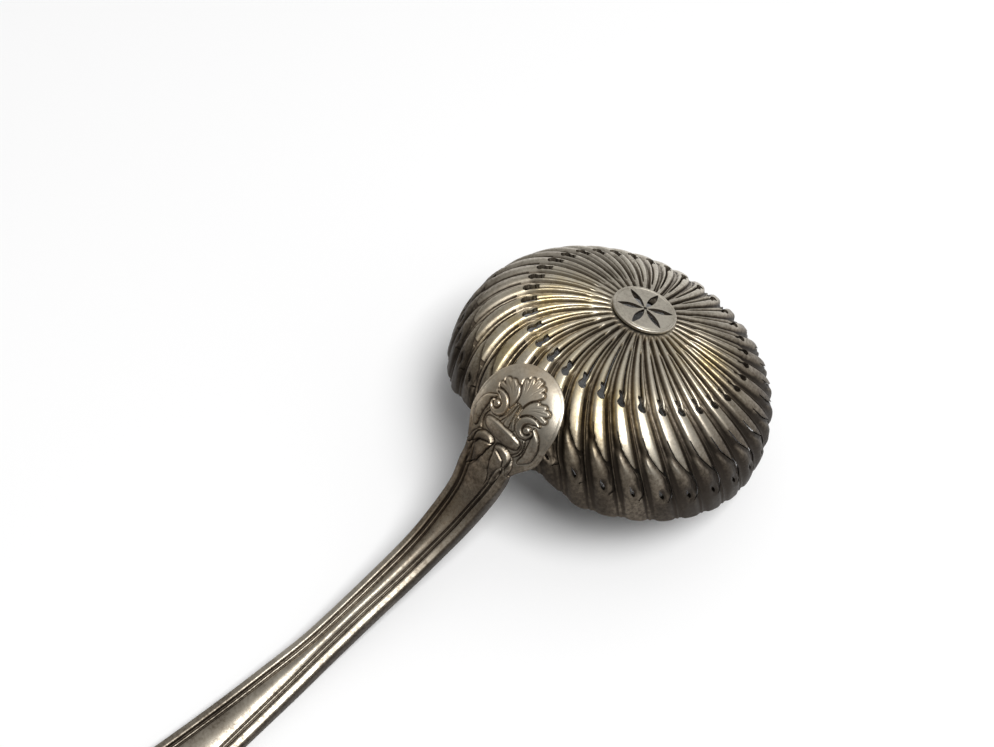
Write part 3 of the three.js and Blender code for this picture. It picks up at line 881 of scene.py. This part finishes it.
# What is kept on the skin of each piece for its tarnish and painted shade: spans of depth, steepness and
# place
SHORTEST_EDGE = 0.02 * MILLIMETRE
CAVITY_SPAN = (0, 0.6)
STEEP_SHADE_SPAN = (0.1, 0.8)
RECESS_SPAN = (0.3, 1)
WALL_DEPTH = (0.3, 0.75)
SLIT_DEPTH = (0.12, 0.25)
SLIT_GAP = 2
PETAL_WALL_DEPTH = 0.05


def mesh_values(parts, name):
    values = np.empty(3 * len(parts), np.float32)
    parts.foreach_get(name, values)
    return values.reshape(-1, 3).astype(float)


def store_cavity(piece, rounds, full):
    """Keeps how far each point lies below the skin around it, as a share."""
    mesh = piece.data
    points = mesh_values(mesh.vertices, "co")
    normals = mesh_values(mesh.vertices, "normal")
    ends = np.empty(2 * len(mesh.edges), np.int32)
    mesh.edges.foreach_get("vertices", ends)
    first, second = ends.reshape(-1, 2).T
    count = len(points)
    pull = 1 / np.maximum(((points[first] - points[second]) ** 2).sum(axis=1), SHORTEST_EDGE**2)
    whole = np.bincount(first, pull, count) + np.bincount(second, pull, count)
    level = points.copy()
    for _ in range(rounds):
        total = [np.bincount(first, pull * level[second, axis], count)
                 + np.bincount(second, pull * level[first, axis], count) for axis in range(3)]
        level = (level + np.stack(total, axis=-1) / whole[:, None]) / 2
    depth = ((level - points) * normals).sum(axis=1) / MILLIMETRE
    store(piece, "cavity", smooth_step(*CAVITY_SPAN, depth / full))


def store_steep_shade(piece):
    """Keeps how steep each point of the skin is as the ladle lies on the table: 0 level, 1 upright. Steep
    sides get painted shade from it.
    """
    normals = mesh_values(piece.data.vertices, "normal")
    store(piece, "steep_shade", smooth_step(*STEEP_SHADE_SPAN, 1 - normals @ np.array(placement())[2, :3]))


def flute_place(points):
    """Place across and along the flutes, depth of the flute there and depth below the fluted face."""
    x, y, z = points.T / MILLIMETRE
    out = (np.hypot(x, y) / BOWL_RADIUS) ** (BOWL_FULLNESS / 2)
    up = np.maximum(z / BOWL_DEPTH, 0) ** (BOWL_FULLNESS / 2)
    distance = np.interp(np.arctan2(out, up), profile_angle, profile_distance)
    across = (np.arctan2(x, -y) - KEYHOLE_LEAN - swirl_at(distance)) / FLUTE_PITCH + 0.5
    drop = flute_drop(across, distance)
    depth = (1 - np.hypot(out, up) ** (2 / BOWL_FULLNESS)) * np.sqrt(x**2 + y**2 + z**2)
    return across, distance, drop, depth - drop


# Gilding is left in a few places of the bowl: place, reach
GILT_PLACES = [
    ((-10.6, -9.4, 18.6), 5), ((-10.1, -21.4, 14.8), 6), ((13.5, 2.4, 18.6), 5), ((8.6, -21, 15.5), 6),
]

# Painted shade darkens the bowl low down, where it is sunk, beside the medallion, at its sides and by the
# heel: how much
BOWL_SHADES = {"sunk": 1.1, "seat": 0.4, "right": 0.9, "left": 0.4, "heel": 0.7}
LOW_SPAN = (0.5, 0.95)
SEAT_SPAN = (SEAT_DISTANCE, SEAT_DISTANCE + 2)
RIGHT_SIDE = (10, 26)
LEFT_SIDE = (14, 26)
HEEL_SIDE = (24, 10)
HEEL_FRONT = (12, 22)

# Painted shade darkens the handle at its neck, on the left of its plate and of its stem, and it is darker
# along its stem;
# it is lighter at the plate's left rim, and a painted highlight lies at the left end of its cushion: how much
HANDLE_SHADES = {"neck": 1.4, "left": 1, "stem": 1, "stem_left": 1.9, "left_rim": -2.6, "cushion": -2.4}
NECK_BEGIN = (26, 36)
NECK_END = (38, 56)
PLATE_END = (30, 36)
PLATE_LEFT = (1, -7)
PLATE_LEFT_RIM = (-3, -8)
STEM_BEGIN = (24, 40)
STEM_LEFT = (1, -3)
STEM_LEFT_BEGIN = (64, 84)
STEM_LEFT_END = (92, 112)
CUSHION_END = (-3.2, -31, 7.5)
CUSHION_END_REACH = 2.6

# A brown film lies on the heel plate and the neck, thinner on the right
FILM_SHARE = 0.65
FILM_END = (34, 56)
FILM_THINNED = 0.85
FILM_RIGHT = (-2, 5)


def spot_at(points, place, reach):
    """A soft round spot: 1 at its place."""
    return np.exp(-(((points - place) / reach) ** 2).sum(axis=1) / 2)


def gilding_at(points):
    share = np.zeros(len(points))
    for place, reach in GILT_PLACES:
        share += spot_at(points, place, reach)
    return np.clip(share, 0, 1)


def store_bowl_tarnish_and_shade(bowl):
    """Keeps each point's depth in its flute, the painted shade of its place and how gilt it is, and which
    faces are inside or cut walls, which get painted shade.
    """
    points = mesh_values(bowl.data.vertices, "co")
    across, distance, drop = flute_place(points)[:3]
    store(bowl, "recess", smooth_step(*RECESS_SPAN, drop / FLUTE_DEPTH))
    x, y = points.T[:2] / MILLIMETRE
    # Painted shade: darker toward the rim, beside each slit and in each comma's dish, beside the medallion,
    # at both sides and low down by the heel
    low = smooth_step(*LOW_SPAN, flute_share(distance))
    sunk = slit_sink(across % 1, distance) + comma_dish(across % 1, distance)
    shade = np.maximum(low, BOWL_SHADES["sunk"] * sunk)
    shade += BOWL_SHADES["seat"] * (1 - smooth_step(*SEAT_SPAN, distance))
    shade += BOWL_SHADES["right"] * smooth_step(*RIGHT_SIDE, x + y / 2)
    shade += BOWL_SHADES["left"] * smooth_step(*LEFT_SIDE, -x)
    shade += BOWL_SHADES["heel"] * low * smooth_step(*HEEL_SIDE, x) * smooth_step(*HEEL_FRONT, -y)
    store(bowl, "shade", shade)
    # Painted shade fills the inner wall and the walls of the slits and comma holes
    face_distance, _, face_depth = flute_place(mesh_values(bowl.data.polygons, "center"))[1:]
    slit = smooth_step(*SLIT_DEPTH, face_depth) * (face_distance > KEYHOLE_DISTANCE + SLIT_GAP)
    store(bowl, "inside", np.maximum(slit, smooth_step(*WALL_DEPTH, face_depth)))
    store(bowl, "wash", gilding_at(points / MILLIMETRE))


def store_handle_tarnish_and_shade(handle):
    """Keeps how dark or light each point's place on the handle is, with painted shade and a painted highlight
    among it, and where the brown film lies.
    """
    points = mesh_values(handle.data.vertices, "co") / MILLIMETRE
    side, out = points[:, 0], -points[:, 1]
    plate = 1 - smooth_step(*PLATE_END, out)
    stem_left = smooth_step(*STEM_LEFT_BEGIN, out) * (1 - smooth_step(*STEM_LEFT_END, out))
    # Painted shade at the neck, on the plate's left and on the left of the stem's panel; darker along the
    # stem; lighter at the plate's left rim; a painted highlight at the cushion's left end
    places = {
        "neck": smooth_step(*NECK_BEGIN, out) * (1 - smooth_step(*NECK_END, out)),
        "left": smooth_step(*PLATE_LEFT, side) * plate,
        "stem": smooth_step(*STEM_BEGIN, out),
        "stem_left": smooth_step(*STEM_LEFT, side) * stem_left,
        "left_rim": smooth_step(*PLATE_LEFT_RIM, side) * plate,
        "cushion": spot_at(points, CUSHION_END, CUSHION_END_REACH),
    }
    store(handle, "shade", sum(HANDLE_SHADES[place] * share for place, share in places.items()))
    film = FILM_SHARE * (1 - smooth_step(*FILM_END, out))
    store(handle, "wash", film * (1 - FILM_THINNED * smooth_step(*FILM_RIGHT, side)))


def store_medallion_shade(medallion):
    """Keeps which faces are the walls of the petals and the underside, which get painted shade."""
    x, y, z = mesh_values(medallion.data.polygons, "center").T / MILLIMETRE
    within = np.hypot(x, y) < PETAL_REACH
    store(medallion, "inside", (within & (z < MEDALLION_FACE - PETAL_WALL_DEPTH)).astype(float))


class Shader:
    """Builds the node tree of a material or of the world."""

    def __init__(self, owner, main="Principled BSDF"):
        owner.use_nodes = True
        self.owner = owner
        self.tree = owner.node_tree
        self.main = self.tree.nodes[main]

    def fill(self, node, inputs):
        """Gives a node its inputs, as values or as links from other nodes."""
        for name, value in inputs.items():
            if isinstance(value, bpy.types.NodeSocket):
                self.tree.links.new(value, node.inputs[name])
            else:
                node.inputs[name].default_value = value

    def add(self, kind, settings=None, inputs=None):
        node = self.tree.nodes.new(kind)
        for name, value in (settings or {}).items():
            setattr(node, name, value)
        self.fill(node, inputs or {})
        return node

    def attribute(self, name):
        return self.add("ShaderNodeAttribute", {"attribute_name": name}).outputs["Fac"]

    def noise(self, place, scale, detail, roughness):
        inputs = {"Vector": place, "Scale": scale, "Detail": detail, "Roughness": roughness}
        return self.add("ShaderNodeTexNoise", None, inputs).outputs["Fac"]

    def span(self, value, start, end, low=0.0, high=1.0, kind="SMOOTHSTEP"):
        """Carries a range of values over to another."""
        inputs = {"Value": value, "From Min": start, "From Max": end, "To Min": low, "To Max": high}
        return self.add("ShaderNodeMapRange", {"interpolation_type": kind}, inputs).outputs["Result"]

    def sum(self, first, second):
        return self.add("ShaderNodeMath", {"operation": "ADD"}, {0: first, 1: second}).outputs[0]

    def product(self, first, second):
        return self.add("ShaderNodeMath", {"operation": "MULTIPLY"}, {0: first, 1: second}).outputs[0]

    def ramp(self, value, stops):
        node = self.add("ShaderNodeValToRGB", None, {"Fac": value})
        elements = node.color_ramp.elements
        while len(elements) < len(stops):
            elements.new(1)
        for element, (place, color) in zip(elements, stops):
            element.position = place
            element.color = (*color, 1)
        return node.outputs["Color"]

    def tint(self, share, color, wash):
        settings = {"data_type": "RGBA", "blend_type": "MULTIPLY"}
        return self.add("ShaderNodeMix", settings, {0: share, 6: color, 7: wash}).outputs[2]

    def finish(self, color, roughness, height, strength):
        """Makes the skin a metal with fine bumps."""
        inputs = {"Height": height, "Strength": strength, "Distance": BUMP_HEIGHT}
        normal = self.add("ShaderNodeBump", None, inputs).outputs["Normal"]
        skin = {"Base Color": color, "Metallic": 1, "Roughness": roughness, "Normal": normal}
        self.fill(self.main, skin)
        return self.owner


# Tones of silver by its tarnish and painted shade, and of pitted solder
SILVER_TONES = [
    (0.0, (0.7, 0.65, 0.55)), (0.3, (0.43, 0.385, 0.315)), (0.55, (0.2, 0.168, 0.13)),
    (0.8, (0.08, 0.065, 0.05)), (1.0, (0.04, 0.032, 0.025)),
]
SOLDER_TONES = [(0.3, (0.1, 0.085, 0.065)), (0.6, (0.22, 0.19, 0.15)), (0.8, (0.3, 0.27, 0.22))]
GILDING = (0.95, 0.8, 0.42, 1)
BROWN_FILM = (1, 0.8, 0.56, 1)

# Noises: scale, detail, roughness
BLOTCHES = (110, 5, 0.62)
SPECKS = (1500, 4, 0.7)
GRAIN = (6000, 2, 0.6)
WASH_WEAR = (240, 4, 0.6)
PITS = (2200, 4, 0.65)

# What the noises do: middle range of a noise, and what it is carried over to
MIDDLE = (0.3, 0.7)
BLOTCH_TARNISH = 0.12
SPECK_RANGE = (0.35, 0.75)
SPECK_TARNISH = (-0.08, 0.12)
SPECK_ROUGHNESS = (-0.04, 0.06)
SPECK_HEIGHT = 0.6
GRAIN_HEIGHT = 0.4
WASH_SHARE = (0.24, 0.8)
DARKENING_RANGE = (0, 0.9)
SILVER_ROUGHNESS = (0.36, 0.55)
SOLDER_ROUGHNESS = (0.4, 0.6)
SILVER_BUMPS = 0.16
SOLDER_BUMPS = 0.3
BUMP_HEIGHT = 0.0001

# What darkens each piece, tarnish in its hollows and painted shade, and by how much
BOWL_DARKENING = {"cavity": 0.24, "recess": 0.3, "shade": 0.36, "steep_shade": 0.3, "inside": 0.75}
MEDALLION_DARKENING = {"cavity": 0.28, "inside": 0.75}
HANDLE_DARKENING = {"cavity": 0.42, "shade": 0.11, "steep_shade": 0.6}


def aged_and_shaded_silver(name, base_tarnish, shares, wash=None):
    """Worn silver, darkened by the tarnish and painted shade kept on the skin, with traces of a coloured
    wash.
    """
    shader = Shader(bpy.data.materials.new(name))
    place = shader.add("ShaderNodeTexCoord").outputs["Object"]
    blotches = shader.noise(place, *BLOTCHES)
    specks = shader.noise(place, *SPECKS)
    grain = shader.noise(place, *GRAIN)
    darkening = shader.span(blotches, *MIDDLE, base_tarnish - BLOTCH_TARNISH, base_tarnish + BLOTCH_TARNISH)
    # Tarnish in the hollows and painted shade are added up from what is kept on the skin
    for attribute, share in shares.items():
        darkening = shader.sum(darkening, shader.product(shader.attribute(attribute), share))
    darkening = shader.sum(darkening, shader.span(specks, *SPECK_RANGE, *SPECK_TARNISH))
    color = shader.ramp(darkening, SILVER_TONES)
    if wash:
        worn = shader.span(shader.noise(place, *WASH_WEAR), *MIDDLE, *WASH_SHARE)
        color = shader.tint(shader.product(shader.attribute("wash"), worn), color, wash)
    dull = shader.span(darkening, *DARKENING_RANGE, *SILVER_ROUGHNESS)
    roughness = shader.sum(dull, shader.span(specks, *MIDDLE, *SPECK_ROUGHNESS))
    scratches = shader.sum(shader.product(specks, SPECK_HEIGHT), shader.product(grain, GRAIN_HEIGHT))
    return shader.finish(color, roughness, scratches, SILVER_BUMPS)


def dull_solder(name):
    shader = Shader(bpy.data.materials.new(name))
    place = shader.add("ShaderNodeTexCoord").outputs["Object"]
    pits = shader.noise(place, *PITS)
    roughness = shader.span(pits, *MIDDLE, *SOLDER_ROUGHNESS)
    return shader.finish(shader.ramp(pits, SOLDER_TONES), roughness, pits, SOLDER_BUMPS)


SHARP_ANGLE = 40 * DEGREE


def set_down(piece, node, material):
    piece.data.materials.clear()
    piece.data.materials.append(material)
    piece.data.shade_smooth()
    piece.data.set_sharp_from_angle(angle=SHARP_ANGLE)
    piece.data.transform(placement())
    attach(piece, "root")
    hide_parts(node)


# Stage, in metres
FLOOR_HALF = 3
FLOOR_TONE = (0.95, 0.95, 0.95, 1)


def make_floor():
    mesh = bpy.data.meshes.new("floor")
    corners = [(FLOOR_HALF * x, FLOOR_HALF * y, 0) for x, y in ((-1, -1), (1, -1), (1, 1), (-1, 1))]
    mesh.from_pydata(corners, [], [(0, 1, 2, 3)])
    floor = add_object("floor", mesh)
    shader = Shader(bpy.data.materials.new("matt_paper"))
    shader.fill(shader.main, {"Base Color": FLOOR_TONE, "Roughness": 1, "Specular IOR Level": 0})
    mesh.materials.append(shader.owner)


AIM = Vector((0, 0.02, 0.01))


def add_lamp(name, direction, distance, size, power):
    """A soft square lamp that faces the ladle."""
    light = bpy.data.lights.new(name, "AREA")
    light.size = size
    light.energy = power
    lamp = add_object(name, light)
    lamp.location = AIM + Vector(direction).normalized() * distance
    lamp.rotation_euler = (AIM - lamp.location).to_track_quat("-Z", "Y").to_euler()


# The room is brightest behind the bowl, away from the handle
ROOM_BRIGHT_SIDE = (-0.42, 0.54, 0.73)
ROOM_TONES = [(0.0, 0.04), (0.5, 0.09), (0.8, 0.32), (1.0, 0.58)]


def light_world():
    world = bpy.data.worlds.new("studio")
    shader = Shader(world, "Background")
    direction = shader.add("ShaderNodeTexCoord").outputs["Generated"]
    inputs = {0: direction, 1: ROOM_BRIGHT_SIDE}
    facing = shader.add("ShaderNodeVectorMath", {"operation": "DOT_PRODUCT"}, inputs).outputs["Value"]
    greys = [(place, (tone, tone, tone)) for place, tone in ROOM_TONES]
    color = shader.ramp(shader.span(facing, -1, 1, kind="LINEAR"), greys)
    shader.fill(shader.main, {"Color": color, "Strength": 1})
    bpy.context.scene.world = world


# Camera: where it stands and the way it looks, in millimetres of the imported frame
CAMERA_PLACE = (70.072, -38.524, 203.56)
CAMERA_RIGHT = (0.68055, 0.73254, 0.01537)
CAMERA_UP = (-0.62618, 0.57058, 0.53135)
CAMERA_LENS = 43.46
CAMERA_CLIP = 0.01


def set_camera():
    data = bpy.data.cameras.new("camera")
    data.lens = CAMERA_LENS
    data.clip_start = CAMERA_CLIP
    camera = add_object("camera", data)
    right = Vector(CAMERA_RIGHT).normalized()
    back = right.cross(Vector(CAMERA_UP)).normalized()
    up = back.cross(right)
    turned = Matrix((right, up, back)).transposed().to_4x4()
    camera.matrix_world = Matrix.Translation(Vector(CAMERA_PLACE) * MILLIMETRE) @ turned
    bpy.context.scene.camera = camera


bowl = make_bowl()
store_cavity(bowl, rounds=10, full=0.08)
# Painted shade on the bowl's steep sides
store_steep_shade(bowl)
store_bowl_tarnish_and_shade(bowl)
bowl_silver = aged_and_shaded_silver("bowl_silver_aged_and_shaded", base_tarnish=0.13, shares=BOWL_DARKENING, wash=GILDING)
set_down(bowl, "bowl", bowl_silver)

medallion = make_medallion()
store_cavity(medallion, rounds=10, full=0.2)
store_medallion_shade(medallion)
medallion_silver = aged_and_shaded_silver("medallion_silver_aged_and_shaded", base_tarnish=0.11, shares=MEDALLION_DARKENING)
set_down(medallion, "base_medallion", medallion_silver)

handle = make_handle()
store_cavity(handle, rounds=30, full=0.16)
store_steep_shade(handle)
store_handle_tarnish_and_shade(handle)
handle_silver = aged_and_shaded_silver("handle_silver_aged_and_shaded", base_tarnish=0.14, shares=HANDLE_DARKENING, wash=BROWN_FILM)
set_down(handle, "handle", handle_silver)

solder = dull_solder("solder_aged")
for node in ("medallion_solder", "heel_solder"):
    for material_slot in frame["nodes"][node].material_slots:
        material_slot.material = solder

make_floor()
light_world()
add_lamp("key", direction=(0.35, 0.05, 0.93), distance=1.5, size=0.8, power=20)
add_lamp("window", direction=(0.85, 0.3, 0.45), distance=1.6, size=0.9, power=1)
set_camera()
bpy.context.scene.view_settings.view_transform = "Standard"
